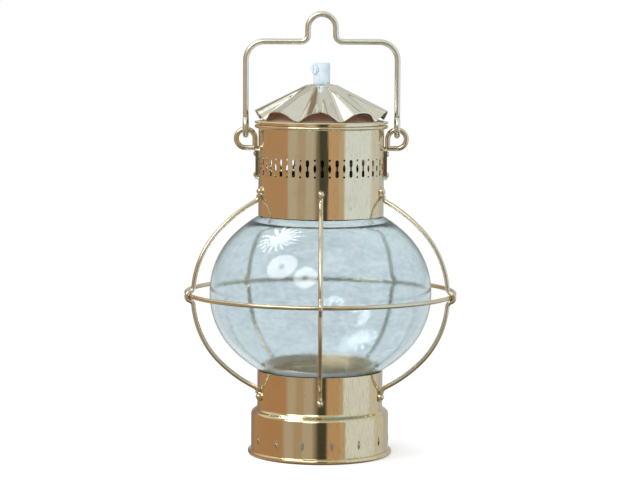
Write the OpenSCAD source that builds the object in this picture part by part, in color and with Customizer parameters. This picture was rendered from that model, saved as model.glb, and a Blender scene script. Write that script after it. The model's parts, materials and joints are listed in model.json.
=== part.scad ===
// Hanging onion lantern with an electric lampholder, all sizes in millimetres.
// The frame: +Z is up, the lantern stands on z = 0, its axis is the Z axis, and its front faces -Y.
// Angles called "turn" are measured from the front towards +X.

/* [Base] */
// Outer radius of the foot's wall
foot_r = 50.5; // [48:0.5:56]
// Radius of the rolled bead round the foot
foot_bead_r = 2; // [1.6:0.1:2.4]
// Height at which the foot's wall turns into the shoulder
foot_top = 29.4; // [26:0.1:33]
// Height of the shoulder
shoulder_h = 6.7; // [6:0.1:8]
// Outer radius of the collar
collar_r = 46; // [41:0.5:50]
// Height of the collar over the shoulder
collar_h = 25.8; // [23:0.1:29]
// Thickness of the brass sheet
sheet = 0.7; // [0.5:0.05:0.9]
// Number of air slots round the foot
foot_slots = 15; // [9:1:18]
// Turn of the first air slot
foot_slot_turn = 10; // [0:1:24]
// Height of an air slot's middle
foot_slot_z = 13; // [12:0.5:16]
// Width and height of an air slot
foot_slot_size = [2.4, 7]; // [2:0.1:8]

/* [Globe] */
// Gap between the glass and the edges of the collar and the chimney
edge_gap = 0.8; // [0.6:0.1:1.2]
// Radius of the arc at the globe's side
globe_side_r = 60; // [54:0.5:68]
// Distance from the axis to the centre of the side arc
globe_side_x = 21.2; // [19:0.1:24]
// Distance from the equator to the centre of each cap arc, on the far side
globe_cap_z = 22.2; // [20:0.1:25]
// Thickness of the glass
glass_t = 2.5; // [2:0.1:3]
// Gap between each neck of the globe and the wall round it, below and above
neck_gap = [1.8, 1.6]; // [1.4:0.1:2.2]
// Height of each neck beyond the globe's curve
neck_h = 7.1; // [6:0.1:8]
// Thickness of the gasket at each neck
gasket_t = 0.8; // [0.6:0.1:1]
// Height of the wall of each glass ring
ring_h = 6; // [5:0.5:7]

/* [Chimney] */
// Outer radius of the chimney
chimney_r = 45.8; // [41:0.1:52]
// Height from the chimney's lower edge to the middle of its rim's bead
chimney_h = 64.9; // [58:0.1:72]
// Radius of the rim's rolled bead
rim_bead_r = 1.4; // [1.2:0.1:1.6]
// How far the rim stands out from the chimney
rim_reach = 2.9; // [2.8:0.1:3.4]
// Height of the cover ring's top over the middle of the bead, and thickness of its lip
cover_size = [3.4, 1]; // [0.8:0.1:4]
// Number of figure-of-eight holes, with a lens hole between each two
vent_count = 27; // [18:1:27]
// Turn of the first figure-of-eight hole
vent_turn = 1; // [0:0.5:3]
// Height of the middle of the perforated band over the chimney's lower edge
vent_up = 36.3; // [33:0.1:41]
// Height of a figure-of-eight hole
eight_h = 12.7; // [11.5:0.1:14]
// Width of its two bulges
eight_w = 2.5; // [2.2:0.1:2.8]
// Width of its waist
eight_waist = 1.15; // [1:0.05:1.4]
// Width and height of a lens hole
lens_size = [2.1, 6.5]; // [2:0.1:7]
// Radius of the dots above and below a lens hole
dot_r = 0.8; // [0.7:0.05:0.9]
// Distance from the band's middle to a dot
dot_reach = 6; // [5.4:0.1:6.6]

/* [Crown] */
// Number of flutes
flutes = 9; // [7:1:12]
// Turn of the first crest
crest_turn = -2; // [-20:1:20]
// Radius of the flat top
crown_flat_r = 11.5; // [10:0.5:13]
// Height of the crown's top over the cover ring
crown_h = 26.5; // [23:0.1:29]
// How far the edge's mean radius lies inside the rim's, and its swing between crest and trough
crown_edge_r = [1.6, 1.4]; // [1:0.1:3]
// Mean height of the edge over the cover ring, and its swing between crest and trough
crown_edge_z = [5.1, 3.3]; // [3:0.1:6]
// How far the baffle's top lies under the crown's
baffle_drop = 8; // [7:0.5:9]

/* [Guard] */
// Radius of the guard's wire
wire_r = 1.6; // [1.4:0.05:1.8]
// Number of upright wires
wire_count = 5; // [5:1:5]
// Distance from the glass to the hoop's centre line
hoop_gap = 16.8; // [15.2:0.1:18.9]
// How far inside the hoop the wires' own curve passes
wire_inset = 1.5; // [1.3:0.1:1.7]
// How much larger than the globe's the radius of a wire's side arc is
wire_side_more = 8; // [7:0.5:9]
// How much further off than the globe's the centre of a wire's cap arc is
wire_cap_more = 5.4; // [4.8:0.1:6]
// Radius of the small bends in a wire
wire_bend_r = 4; // [3.6:0.1:4.5]
// Distance from a wire's last bend to its rivet
wire_tail = 3.65; // [3.3:0.05:4.1]
// Radius and thickness of the flattened eye at each end of a wire
wire_eye = [3.5, 1.5]; // [1.3:0.1:4]

/* [Bail] */
// Radius of the bail's rod
bail_rod_r = 2.1; // [1.9:0.05:2.3]
// Height of the straight arms over the middle of the lugs' rings
bail_h = 70.5; // [64:0.5:78]
// Radius of the two corners
bail_corner_r = 13.5; // [12:0.5:15]
// Radius of the hanging loop's centre line
loop_r = 10.1; // [9:0.1:11.4]
// Height of the centre of the hanging loop's arc over the arms
loop_up = 9.9; // [8.6:0.1:11]
// Radius of the bends between the arms and the loop
loop_bend_r = 5; // [4.5:0.1:5.6]
// Radius of the centre line of the eye at each end
bail_eye_r = 6.6; // [6.2:0.1:7.4]
// Radius of the bend between a leg and its eye
bail_neck_r = 4; // [3.6:0.1:4.5]
// How far the eye's wire runs round
bail_eye_sweep = 298; // [280:1:305]

/* [Lugs] */
// Radius of the lug's rod
lug_rod_r = 1.88; // [1.7:0.02:2.1]
// Radius of the centre line of the lug's ring
lug_ring_r = 6.8; // [6.2:0.05:7.6]
// How far the ring's middle lies under the middle of the rim's bead
lug_drop = 9.2; // [8.4:0.1:10.2]
// Distance from the chimney's wall to the middle of the lug's shank
lug_stand = 2.5; // [2.3:0.1:2.8]
// Width, thickness and height of the flattened foot of the lug
lug_tab = [7.5, 2.2, 24.4]; // [2:0.1:27]
// How far the foot's upper end lies under the ring's middle
lug_tab_drop = 5.5; // [5:0.1:6]
// Distance of the lower rivet from the foot's lower end, and of the upper one from its upper end
lug_rivet_in = [3.6, 5.4]; // [3.3:0.1:6]

/* [Fittings] */
// Outer radius of the cord grip
grip_r = 6.1; // [5.9:0.1:6.8]
// Height of the cord grip
grip_h = 15.6; // [14:0.1:17.5]
// Radius of the hole for the cord
cord_hole_r = 3.7; // [3.3:0.1:4]
// Height of the clamp screw over the grip's foot
clamp_up = 11.1; // [10:0.1:12]
// Turn of the clamp screw
clamp_turn = -50; // [-80:1:-20]
// Radius and height of the clamp screw's head
clamp_head = [3.35, 2]; // [1.8:0.05:3.7]
// Radius of the clamp screw's shank
clamp_r = 2; // [1.8:0.1:2.2]
// Outer and inner radius of the threaded tube
tube_rs = [5, 4]; // [4:0.1:5]
// How far the threaded tube reaches under the cross bar and over the crown
tube_reach = [15, 7]; // [6:0.5:16]
// Thickness and width of the cross bar
bar_size = [1.2, 12]; // [1:0.1:14]
// How far the cross bar lies over the lugs' upper rivets, and how far its legs reach under them
bar_legs = [6.4, 4.6]; // [4:0.1:7]

/* [Lampholder] */
// Outer radius of the lampholder
holder_r = 19.8; // [18.4:0.1:22]
// Height of the whole lampholder and of its lower half
holder_h = [43, 22]; // [20:0.5:46]
// Thickness of its wall
holder_wall = 2; // [1.8:0.1:2.2]
// Inner radius of the screw shell, for a standard 27 mm lamp cap
lamp_bore_r = 13.3; // [13.25:0.05:13.4]

/* [Tray] */
// Gap between the tray's skirt and the glass neck round it
tray_play = 0.4; // [0.3:0.05:0.5]
// Height of the tray's lower end over the foot of the collar
tray_up = 2; // [1.8:0.1:2.2]
// Thickness of the tray's sheet, and of the clips and the glass rings
tray_sheet = 0.8; // [0.7:0.05:0.9]
// Gap between the skirt's flange and the collar
flange_play = 1.1; // [1.05:0.05:1.2]
// Height of the dish's floor over the tray's lower end
dish_up = 21.3; // [19:0.1:24]
// Depth of the dish
dish_h = 7; // [6:0.5:8]
// Number of clips that hold the tray, and of notches in its flange
clip_count = 3; // [3:1:3]
// Turn of the first clip
clip_turn = 36; // [36:1:36]
// Width of a clip
clip_w = 6; // [5:0.5:7]
// How far the tray is turned from its free position when it is locked
lock_turn = 25; // [20:1:30]
// Half the length of the strap's bar, and how far the bar hangs under the dish
strap_bar = [15, 20]; // [13:0.5:22]
// Width and thickness of the strap
strap_size = [10, 1.2]; // [1:0.1:11]
// Length of the strap's lugs beyond its bar
strap_lug = 9; // [8:0.5:10]

/* [Hidden] */
$fn = 72;
// Gap between a pin and its hole, and between plain parts that touch
pin_gap = 0.05;
// How far a lapped arc reaches over the next piece of rod, and how much thicker it is
lap = 0.1;
lap_rise = 0.01;
// Play between the bail's eye and the lug's ring
bail_play = 0.27;
// Gap between a guard wire's end and the wall beside it
wire_lift = 0.1;
// How far a cutter reaches past what it cuts
past = 1;
rivet_r = 1.2;
rivet_hole_r = rivet_r + pin_gap;
// Radius and thickness of a rivet's hammered end
rivet_tail = [1.9, 0.7];
// Radius and height of the two sizes of rivet dome
dome_big = [2.35, 1.7];
dome_small = [2.2, 1.5];

// Heights are rounded to a tenth, as on a drawing
function tenth(v) = round(v * 10) / 10;
// Height of the globe's surface over its equator, at a distance from the axis
function cap_height(r) = sqrt(pow(globe_cap_r, 2) - pow(r, 2)) - globe_cap_z;

collar_foot = foot_top + shoulder_h;
collar_top = collar_foot + collar_h;
collar_in = collar_r - sheet;
chimney_in = chimney_r - sheet;
globe_cap_r = globe_side_r + norm([globe_side_x, globe_cap_z]);
globe_z = tenth(collar_top + edge_gap + cap_height(collar_r));
low_neck_r = collar_in - neck_gap[0];
high_neck_r = chimney_in - neck_gap[1];
neck_low = tenth(globe_z - cap_height(low_neck_r) - neck_h);
neck_high = tenth(globe_z + cap_height(high_neck_r) + neck_h);
chimney_foot = tenth(globe_z + cap_height(chimney_r) + edge_gap);
rim_z = chimney_foot + chimney_h;
rim_r = chimney_r + rim_reach;
rim_seat = rim_z + sheet / 2;
rim_top = rim_z + cover_size[0];
crown_top = rim_top + crown_h;
hoop_r = globe_side_x + globe_side_r + hoop_gap;
wire_side_r = globe_side_r + wire_side_more;
wire_side_x = hoop_r - wire_inset - wire_side_r;
wire_cap_z = globe_cap_z + wire_cap_more;
wire_cap_r = wire_side_r + norm([wire_side_x, wire_cap_z]);
lug_ring_z = rim_z - lug_drop;
lug_tab_top = lug_ring_z - lug_tab_drop;
lug_tab_low = lug_tab_top - lug_tab[2];
lug_rivet_z = [lug_tab_low + lug_rivet_in[0], lug_tab_top - lug_rivet_in[1]];
bail_x = chimney_r + lug_stand + lug_ring_r;
bail_arm_z = lug_ring_z + bail_h;
loop_z = bail_arm_z + loop_up;
// Height of the eye's centre: the eye hangs with its lower wire under the lug's wire
eye_z = lug_ring_z + lug_ring_r + bail_eye_r - bail_rod_r - lug_rod_r - bail_play;
// Height of the neck bend's centre over the eye's centre
eye_to_leg = sqrt(pow(bail_eye_r + bail_neck_r, 2) - pow(bail_neck_r, 2));
tube_hole_r = tube_rs[0] + pin_gap;
nut_h = 3;
nut_r = 7.5;
washer_size = [8.5, 0.4];
bar_z = lug_rivet_z[1] + bar_legs[0];
bar_in = chimney_in - bar_size[0];
bar_top = bar_z + bar_size[0];
baffle_top = crown_top - baffle_drop;
grip_foot = crown_top + washer_size[1];
tube_top = crown_top + tube_reach[1];
cap_top = bar_z - nut_h;
holder_mouth = cap_top - holder_h[0];
holder_joint = holder_mouth + holder_h[1];
shell_wall = 0.6;
block_z = holder_joint - 1;
// Height of the ceramic block and of its boss
block_h = [6, 3];
terminal_x = holder_r - 8.3;
terminal_plate = [6, 7, 1.2];
low_neck_in = low_neck_r - glass_t;
high_neck_in = high_neck_r - glass_t;
low_ring_end = neck_low - gasket_t - ring_h;
tray_r = low_neck_in - tray_play;
tray_foot = collar_foot + tray_up;
tray_flange_r = collar_in - flange_play;
dish_floor = tray_foot + dish_up;
dish_top = dish_floor + dish_h;
strap_rivet_x = strap_bar[0] + (strap_lug + strap_size[1]) / 2;
brass = [0.83, 0.68, 0.40];
steel = [0.70, 0.70, 0.72];
black = [0.07, 0.07, 0.07];
rubber = [0.25, 0.23, 0.21];

// Points along an arc of radius r about c, from angle a to angle b
function arc(c, r, a, b, steps = 12) =
    [for (i = [0 : steps]) let (t = a + (b - a) * i / steps) c + r * [cos(t), sin(t)]];

// Stands a drawing made in the plane of (radius, height) on the radial plane at a turn
module at_turn(turn) {
    rotate([0, 0, turn - 90]) rotate([90, 0, 0]) children();
}

// An arc of round rod about c, drawn in the plane of the drawing
module rod_arc(c, bend_r, rod_r, a, b) {
    translate([c[0], c[1], 0]) rotate([0, 0, a])
        rotate_extrude(angle = b - a) translate([bend_r, 0]) circle(r = rod_r);
}

// The same arc, a hair thicker and a little longer, so that it laps over the thinner rod at each end
module lapped_arc(c, bend_r, rod_r, a, b) {
    extra = lap / bend_r * 180 / PI;
    rod_arc(c, bend_r, rod_r + lap_rise, a - extra, b + extra);
}

// A straight piece of round rod from p to q, in the plane of the drawing
module rod(p, q, rod_r) {
    d = q - p;
    translate([p[0], p[1], 0]) rotate([0, 0, atan2(d[1], d[0])]) rotate([0, 90, 0])
        cylinder(h = norm(d), r = rod_r);
}

// A round tube about the Z axis
module tube(outer, inner, low, high) {
    translate([0, 0, low]) difference() {
        cylinder(h = high - low, r = outer);
        translate([0, 0, -past]) cylinder(h = high - low + 2 * past, r = inner);
    }
}

// Pushes a flat shape, drawn as seen from outside, through the wall at a turn and a height
module through_wall(turn, z, from_r, to_r) {
    rotate([0, 0, turn]) translate([0, -from_r, z]) rotate([90, 0, 0])
        linear_extrude(to_r - from_r) children();
}

// A tab of sheet that follows a round wall, cut to a flat shape
module wall_tab(turn, z, wall_r, thick, half_h) {
    intersection() {
        tube(wall_r + thick, wall_r, z - half_h - past, z + half_h + past);
        through_wall(turn, z, wall_r / 2, wall_r + thick + past) children();
    }
}

// A solid dome rivet that grips from the inside of a wall, at inner_r, to radius to_r: its flat tail
// lies against the curve of the wall
module dome_rivet(turn, z, inner_r, to_r, dome) {
    ball_r = (dome[0] * dome[0] + dome[1] * dome[1]) / (2 * dome[1]);
    grip = to_r - tenth(sqrt(pow(inner_r, 2) - pow(rivet_tail[0], 2)) - pin_gap);
    rotate([0, 0, turn]) translate([0, -to_r, z]) rotate([90, 0, 0]) union() {
        translate([0, 0, -grip]) cylinder(h = grip, r = rivet_r);
        translate([0, 0, -grip - rivet_tail[1]]) cylinder(h = rivet_tail[1], r = rivet_tail[0]);
        intersection() {
            translate([0, 0, dome[1] - ball_r]) sphere(r = ball_r);
            cylinder(h = dome[1] + past, r = dome[0] + past);
        }
    }
}

// A pointed lens of a given width and height
module lens(size) {
    r = (size[1] * size[1] + size[0] * size[0]) / (4 * size[0]);
    intersection() {
        translate([r - size[0] / 2, 0]) circle(r = r);
        translate([size[0] / 2 - r, 0]) circle(r = r);
    }
}

// A slot with round ends
module slot(w, h) {
    square([w, h - w], center = true);
    for (s = [-1, 1]) translate([0, s * (h - w) / 2]) circle(r = w / 2);
}

// A figure of eight: two long bulges joined by a narrow waist
module eight() {
    bulge_h = eight_h * 0.4;
    for (s = [-1, 1]) translate([0, s * (eight_h - bulge_h) / 2]) slot(eight_w, bulge_h);
    square([eight_waist, eight_h / 2], center = true);
}

// The half outline of the globe at a depth below its outer surface
module globe_outline(depth) {
    side_r = globe_side_r - depth;
    cap_r = globe_cap_r - depth;
    tangent_x = globe_side_x * cap_r / norm([globe_side_x, globe_cap_z]);
    intersection() {
        translate([0, -globe_cap_z]) circle(r = cap_r);
        translate([0, globe_cap_z]) circle(r = cap_r);
        union() {
            translate([0, -cap_r]) square([tangent_x, 2 * cap_r]);
            translate([globe_side_x, 0]) circle(r = side_r);
        }
        translate([0, -cap_r]) square([globe_side_x + side_r + 1, 2 * cap_r]);
    }
}

// Foot and collar, spun from one sheet, with a rolled bead that the lantern stands on
module base_shell() {
    rise = collar_foot - foot_top;
    step = foot_r - collar_r;
    bend = 2 * atan(step / rise);
    bend_r = rise / (2 * sin(bend));
    bead_x = foot_r + 0.4;
    bead_z = foot_bead_r - 0.1;
    low_c = [foot_r - bend_r, foot_top];
    high_c = [collar_r + bend_r, collar_foot];
    outside = concat(
        arc(low_c, bend_r, 0, bend), arc(high_c, bend_r, 180 + bend, 180), [[collar_r, collar_top]]
    );
    inside = concat(
        [[collar_in, collar_top]], arc(high_c, bend_r + sheet, 180, 180 + bend),
        arc(low_c, bend_r - sheet, bend, 0)
    );
    color(brass) difference() {
        rotate_extrude() union() {
            polygon(concat([[foot_r, bead_z]], outside, inside, [[foot_r - sheet, bead_z]]));
            intersection() {
                translate([bead_x, bead_z]) circle(r = foot_bead_r);
                square([2 * foot_r, 2 * foot_r]);
            }
        }
        for (i = [0 : foot_slots - 1])
            through_wall(foot_slot_turn + i * 360 / foot_slots, foot_slot_z, foot_r - 3, foot_r + 3)
                lens(foot_slot_size);
        for (i = [0 : wire_count - 1])
            through_wall(i * 360 / wire_count, globe_z - rivet_reach(collar_r), collar_r - 3, collar_r + 3)
                circle(r = rivet_hole_r);
    }
}

// Three angle clips inside the collar, which the tray's flange turns onto
module tray_clips() {
    leg_in = collar_in - tray_sheet;
    toe_in = leg_in - 2.1;
    toe_t = 1;
    toe_z = tray_foot - toe_t - 0.3;
    color(brass) for (i = [0 : clip_count - 1]) rotate([0, 0, clip_turn + i * 360 / clip_count])
        intersection() {
            union() {
                tube(collar_in, leg_in, toe_z, low_ring_end - pin_gap);
                tube(collar_in, toe_in, toe_z, toe_z + toe_t);
            }
            translate([-clip_w / 2, -collar_r, 0]) cube([clip_w, collar_r / 2, collar_top]);
        }
}

// Ledge that carries the gasket of one neck: z is the gasket's face on it, way is -1 below, 1 above
module glass_ring(wall_in, neck_in, z, way) {
    lip = neck_in + 2 * pin_gap;
    rotate_extrude() polygon([
        [lip, z], [wall_in, z], [wall_in, z + way * ring_h], [wall_in - tray_sheet, z + way * ring_h],
        [wall_in - tray_sheet, z + way * tray_sheet], [lip, z + way * tray_sheet]
    ]);
}

module lower_glass_ring() {
    color(brass) glass_ring(collar_in, low_neck_in, neck_low - gasket_t, -1);
}

module upper_glass_ring() {
    color(brass) glass_ring(chimney_in, high_neck_in, neck_high + gasket_t, 1);
}

module lower_gasket() {
    color(rubber) tube(low_neck_r, low_neck_in + 4 * pin_gap, neck_low - gasket_t, neck_low);
}

module upper_gasket() {
    color(rubber) tube(high_neck_r, high_neck_in + 4 * pin_gap, neck_high, neck_high + gasket_t);
}

// Blown glass globe: a flattened oval with a short neck at the top and the bottom
module globe() {
    color([0.85, 0.92, 0.95, 0.35]) rotate_extrude() difference() {
        union() {
            translate([0, globe_z]) globe_outline(0);
            translate([0, neck_low]) square([low_neck_r, globe_z - neck_low]);
            translate([0, globe_z]) square([high_neck_r, neck_high - globe_z]);
        }
        translate([0, globe_z]) globe_outline(glass_t);
        translate([-past, 0]) square([low_neck_in + past, globe_z]);
        translate([-past, globe_z]) square([high_neck_in + past, globe_z]);
        translate([-past, 0]) square([low_neck_r + 2 * past, neck_low]);
        translate([-past, neck_high]) square([high_neck_r + 2 * past, globe_z]);
    }
}

// Chimney with its perforated band and the rolled bead of the rim
module chimney() {
    bead_x = rim_r - rim_bead_r;
    vent_z = chimney_foot + vent_up;
    pitch = 360 / vent_count;
    color(brass) difference() {
        rotate_extrude() union() {
            translate([chimney_in, chimney_foot]) square([sheet, rim_seat - chimney_foot]);
            translate([chimney_in, rim_seat - sheet]) square([bead_x - chimney_in, sheet]);
            translate([bead_x, rim_z]) circle(r = rim_bead_r);
        }
        for (i = [0 : vent_count - 1]) {
            through_wall(vent_turn + i * pitch, vent_z, chimney_in - 2, chimney_r + 2) eight();
            through_wall(vent_turn + (i + 0.5) * pitch, vent_z, chimney_in - 2, chimney_r + 2)
                union() {
                    lens(lens_size);
                    for (s = [-1, 1]) translate([0, s * dot_reach]) circle(r = dot_r);
                }
        }
        for (i = [0 : wire_count - 1])
            through_wall(i * 360 / wire_count, globe_z + rivet_reach(chimney_r), chimney_r - 3, chimney_r + 3)
                circle(r = rivet_hole_r);
        for (turn = [-90, 90], z = lug_rivet_z)
            through_wall(turn, z, chimney_r - 3, chimney_r + 3) circle(r = rivet_hole_r);
    }
}

// Ring pressed into the top of the chimney: its lip and the chimney's bead make the double rim
module cover_ring() {
    inner = chimney_in - tray_sheet;
    web_r = rim_r - 2 * rim_bead_r - pin_gap;
    skirt_h = 7;
    lip = rim_top - cover_size[1];
    color(brass) rotate_extrude() polygon([
        [inner, rim_seat - skirt_h], [chimney_in - pin_gap, rim_seat - skirt_h],
        [chimney_in - pin_gap, rim_seat], [web_r, rim_seat], [web_r, lip], [rim_r, lip],
        [rim_r, rim_top], [inner, rim_top]
    ]);
}

// Copper cone under the crown, which turns the hot air outwards
module heat_baffle() {
    thick = 0.6;
    hub_r = 2 * tube_rs[0];
    flange_r = rim_r - 3.1;
    flange_w = 2;
    slant = 0.2;
    color([0.55, 0.25, 0.18]) rotate_extrude() polygon([
        [tube_hole_r, baffle_top], [hub_r, baffle_top], [flange_r - flange_w, rim_top + thick],
        [flange_r, rim_top + thick], [flange_r, rim_top], [flange_r - flange_w - slant, rim_top],
        [hub_r - slant, baffle_top - thick], [tube_hole_r, baffle_top - thick]
    ]);
}

// Fluted roof: straight lines run from the flat top to an edge that waves in and out, up and down
module crown() {
    per_flute = 16;
    n = flutes * per_flute;
    function wave(i) = cos(360 * i / per_flute);
    function turn(i) = crest_turn - 90 + 360 * i / n;
    function ring_flat(z) = [for (i = [0 : n - 1])
        [crown_flat_r * cos(turn(i)), crown_flat_r * sin(turn(i)), z]];
    function ring_edge(drop) = [for (i = [0 : n - 1])
        let (r = rim_r - crown_edge_r[0] + crown_edge_r[1] * wave(i))
        [r * cos(turn(i)), r * sin(turn(i)), rim_top + crown_edge_z[0] + crown_edge_z[1] * wave(i) - drop]];
    points = concat(
        ring_flat(crown_top), ring_edge(0), ring_edge(sheet), ring_flat(crown_top - sheet)
    );
    sides = [for (k = [0 : 2], i = [0 : n - 1]) let (j = (i + 1) % n)
        each [[k * n + i, k * n + j, (k + 1) * n + i], [k * n + j, (k + 1) * n + j, (k + 1) * n + i]]];
    top_face = [[for (i = [0 : n - 1]) n - 1 - i]];
    low_face = [[for (i = [0 : n - 1]) 3 * n + i]];
    color(brass) difference() {
        polyhedron(points = points, faces = concat(top_face, sides, low_face), convexity = 6);
        translate([0, 0, crown_top - nut_h]) cylinder(h = 2 * nut_h, r = tube_hole_r);
    }
}

// Steel bar across the chimney, held by the upper rivets of the lugs
module cross_bar() {
    color(steel) difference() {
        intersection() {
            union() {
                translate([0, 0, bar_z]) cylinder(h = bar_size[0], r = chimney_in - pin_gap);
                tube(chimney_in - pin_gap, bar_in, lug_rivet_z[1] - bar_legs[1], bar_top);
            }
            translate([0, 0, bar_z]) cube([2 * chimney_r, bar_size[1], 4 * bar_size[1]], center = true);
        }
        translate([0, 0, bar_z - past]) cylinder(h = bar_size[0] + 2 * past, r = tube_hole_r);
        for (turn = [-90, 90]) through_wall(turn, lug_rivet_z[1], bar_in - 2 * past, chimney_r)
            circle(r = rivet_hole_r);
    }
}

// Hollow threaded tube on the axis: it clamps grip, crown, baffle, bar and lampholder together
module threaded_tube() {
    color(brass) tube(tube_rs[0], tube_rs[1], bar_z - tube_reach[0], tube_top);
}

// Thin hexagon nuts on the threaded tube: under the crown, on the baffle, over and under the bar
module lock_nuts() {
    color(brass) for (z = [cap_top, bar_top, baffle_top, crown_top - sheet - nut_h])
        translate([0, 0, z]) difference() {
            cylinder(h = nut_h, r = nut_r, $fn = 6);
            translate([0, 0, -past]) cylinder(h = nut_h + 2 * past, r = tube_hole_r);
        }
}

module grip_washer() {
    color(brass) tube(washer_size[0], tube_hole_r, crown_top, grip_foot);
}

// Nylon cord grip with a side hole for its clamp screw
module cord_grip() {
    color([0.94, 0.95, 0.97]) difference() {
        translate([0, 0, grip_foot]) cylinder(h = grip_h, r = grip_r);
        translate([0, 0, grip_foot - past])
            cylinder(h = tube_top - grip_foot + past + 4 * pin_gap, r = tube_hole_r);
        translate([0, 0, grip_foot]) cylinder(h = grip_h + past, r = cord_hole_r);
        through_wall(clamp_turn, grip_foot + clamp_up, 0, grip_r + past) circle(r = clamp_r + pin_gap);
    }
}

// Nylon clamp screw with a slotted head, drawn back clear of the cord
module cord_grip_screw() {
    seat = grip_r + pin_gap;
    shank = seat - cord_hole_r - 2 * pin_gap;
    color([0.92, 0.94, 0.97]) rotate([0, 0, clamp_turn])
        translate([0, -seat, grip_foot + clamp_up]) rotate([90, 0, 0]) difference() {
            union() {
                translate([0, 0, -shank]) cylinder(h = shank + clamp_head[1] / 2, r = clamp_r);
                cylinder(h = clamp_head[1], r = clamp_head[0]);
            }
            translate([0, 0, clamp_head[1]]) cube([0.9, 3 * clamp_head[0], 1.6], center = true);
        }
}

// Upper half of the lampholder, screwed onto the threaded tube
module lampholder_cap() {
    hub_r = 9.5;
    dome_x = hub_r + 1.3;
    dome_r = holder_r - dome_x;
    color(black) rotate_extrude() polygon(concat(
        [[tube_hole_r, cap_top], [hub_r, cap_top], [hub_r, holder_joint + 16]],
        arc([dome_x, holder_joint + 5], dome_r, 80, 0, 8),
        [[holder_r, holder_joint], [holder_r - holder_wall, holder_joint]],
        arc([dome_x, holder_joint + 4], dome_r - holder_wall, 0, 80, 8),
        [[tube_hole_r, holder_joint + 11]]
    ));
}

// Lower half of the lampholder: outer wall, mouth and the sleeve that the screw shell stands on
module lampholder_shell() {
    edge = 0.5;
    floor_t = 4;
    sleeve = lamp_bore_r + shell_wall + pin_gap;
    sleeve_out = sleeve + 1.2;
    sleeve_top = block_z - shell_wall;
    color(black) rotate_extrude() union() {
        polygon([
            [sleeve, holder_mouth + edge], [sleeve + edge, holder_mouth], [holder_r - edge, holder_mouth],
            [holder_r, holder_mouth + edge], [holder_r, holder_joint], [holder_r - holder_wall, holder_joint],
            [holder_r - holder_wall, holder_mouth + floor_t], [sleeve_out, holder_mouth + floor_t],
            [sleeve_out, sleeve_top], [sleeve, sleeve_top]
        ]);
        translate([holder_r, holder_joint - 3]) circle(r = 0.4);
    }
}

// Ceramic block that carries the screw shell and the contacts, with a pocket for the centre contact
module porcelain_insert() {
    color([0.93, 0.92, 0.88]) difference() {
        union() {
            translate([0, 0, block_z]) cylinder(h = block_h[0], r = holder_r - holder_wall - 0.3);
            translate([0, 0, block_z + block_h[0]]) cylinder(h = block_h[1], r = 7);
        }
        for (s = [-1, 1]) translate([s * terminal_x, 0, block_z - past])
            cylinder(h = block_h[0] + 2 * past, r = 1.3);
        translate([0, 0, block_z - past]) cylinder(h = block_h[0] + block_h[1] + 2 * past, r = 1.8);
        translate([0, 0, block_z - past]) cylinder(h = 1.5 + past, r = 4.5);
    }
}

// Brass screw shell that takes the lamp's cap, with a flange under the ceramic block
module lamp_screw_shell() {
    outer = lamp_bore_r + shell_wall;
    flange_r = holder_r - holder_wall - 1;
    low = holder_mouth + 2;
    color(brass) rotate_extrude() polygon([
        [lamp_bore_r, low], [outer, low], [outer, block_z - shell_wall],
        [flange_r, block_z - shell_wall], [flange_r, block_z], [lamp_bore_r, block_z]
    ]);
}

// Centre contact with its pin, and the two terminal plates on the ceramic block
module lamp_contacts() {
    color(brass) {
        union() {
            translate([0, 0, block_z + 0.1]) cylinder(h = 1.4, r = 4);
            translate([0, 0, block_z + 1]) cylinder(h = 8.4, r = 1.75);
        }
        for (s = [-1, 1]) translate([s * terminal_x, 0, block_z + block_h[0]]) difference() {
            translate([s, 0, terminal_plate[2] / 2]) cube(terminal_plate, center = true);
            translate([0, 0, -past]) cylinder(h = terminal_plate[2] + 2 * past, r = 1.35);
        }
    }
}

// Screws that hold the terminal plates down
module terminal_screws() {
    head_z = block_z + block_h[0] + terminal_plate[2];
    color(steel) for (s = [-1, 1]) translate([s * terminal_x, 0, head_z]) difference() {
        union() {
            cylinder(h = 1.4, r = 2.4);
            translate([0, 0, -6]) cylinder(h = 6, r = 1.25);
        }
        translate([0, 0, 1.4]) cube([0.6, 6, 1.4], center = true);
    }
}

// One half of the bail in the plane of (x, height), from the foot of its loop to the neck of its eye
module bail_half() {
    inner_x = loop_r + loop_bend_r;
    rod([loop_r, bail_arm_z + loop_bend_r], [loop_r, loop_z], bail_rod_r);
    lapped_arc([inner_x, bail_arm_z + loop_bend_r], loop_bend_r, bail_rod_r, 180, 270);
    rod([inner_x, bail_arm_z], [bail_x - bail_corner_r, bail_arm_z], bail_rod_r);
    lapped_arc([bail_x - bail_corner_r, bail_arm_z - bail_corner_r], bail_corner_r, bail_rod_r, 0, 90);
    rod([bail_x, eye_z + eye_to_leg], [bail_x, bail_arm_z - bail_corner_r], bail_rod_r);
}

// The eye at the end of a leg, in the plane of (y, height)
module bail_eye() {
    lean = atan2(eye_to_leg, bail_neck_r);
    lapped_arc([bail_neck_r, eye_z + eye_to_leg], bail_neck_r, bail_rod_r, 180, 180 + lean);
    rod_arc([0, eye_z], bail_eye_r, bail_rod_r, lean - bail_eye_sweep, lean);
}

// The bail: one rod with a hanging loop in the middle and an eye at each end
module bail() {
    color(brass) union() {
        rotate([90, 0, 0]) lapped_arc([0, loop_z], loop_r, bail_rod_r, 0, 180);
        for (s = [0, 1]) mirror([s, 0, 0]) {
            rotate([90, 0, 0]) bail_half();
            translate([bail_x, 0, 0]) rotate([90, 0, 90]) bail_eye();
        }
    }
}

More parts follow.
